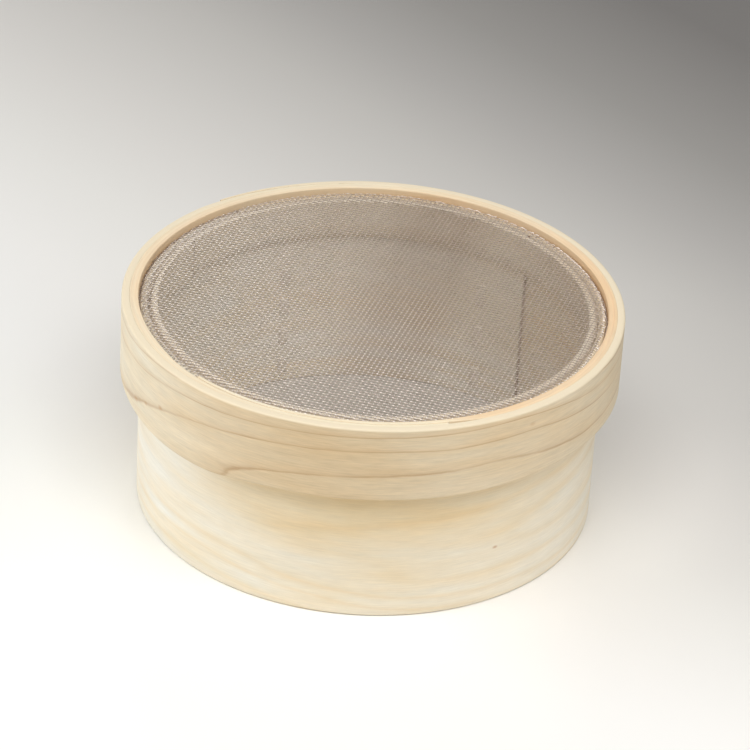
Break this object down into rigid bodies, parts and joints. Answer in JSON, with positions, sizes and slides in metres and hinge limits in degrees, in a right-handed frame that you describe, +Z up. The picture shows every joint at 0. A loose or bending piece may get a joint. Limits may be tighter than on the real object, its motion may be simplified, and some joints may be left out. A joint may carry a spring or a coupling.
{
  "type": "tamis drum sieve",
  "caption": "Round bentwood drum sieve with a flat woven wire cloth held on top by a pressed-on wooden hoop.",
  "frame": {"origin": "centre of the drum's open lower edge, on the surface that the sieve stands on", "axes": "+Z up along the drum's axis, towards the wire cloth; -Y faces the viewer of the picture"},
  "size_m": [0.2, 0.2, 0.089],
  "materials": {
    "body_wood": "planed pale cypress, bare and matte, with fine growth lines along the board",
    "ring_wood": "planed pale cypress, bare and matte",
    "hoop_wood": "planed pale cypress, bare and matte, with brown growth lines round the hoop",
    "ply_wood": "bare cypress of a peach tint, sanded edge",
    "wire_steel": "drawn stainless wire, plain woven, satin",
    "bark": "cherry bark strip, smooth with a low sheen"
  },
  "bodies": {
    "root": {"body_board": "body_wood", "stiffening_ring": "ring_wood", "warp_wires": "wire_steel", "weft_wires": "wire_steel", "cloth_fold": "wire_steel", "hoop_inner_ply": "ply_wood", "hoop_outer_ply": "hoop_wood", "body_lacing_inner_end": "bark", "body_lacing_outer_end": "bark", "hoop_lacing": "bark"}
  },
  "joints": []
}
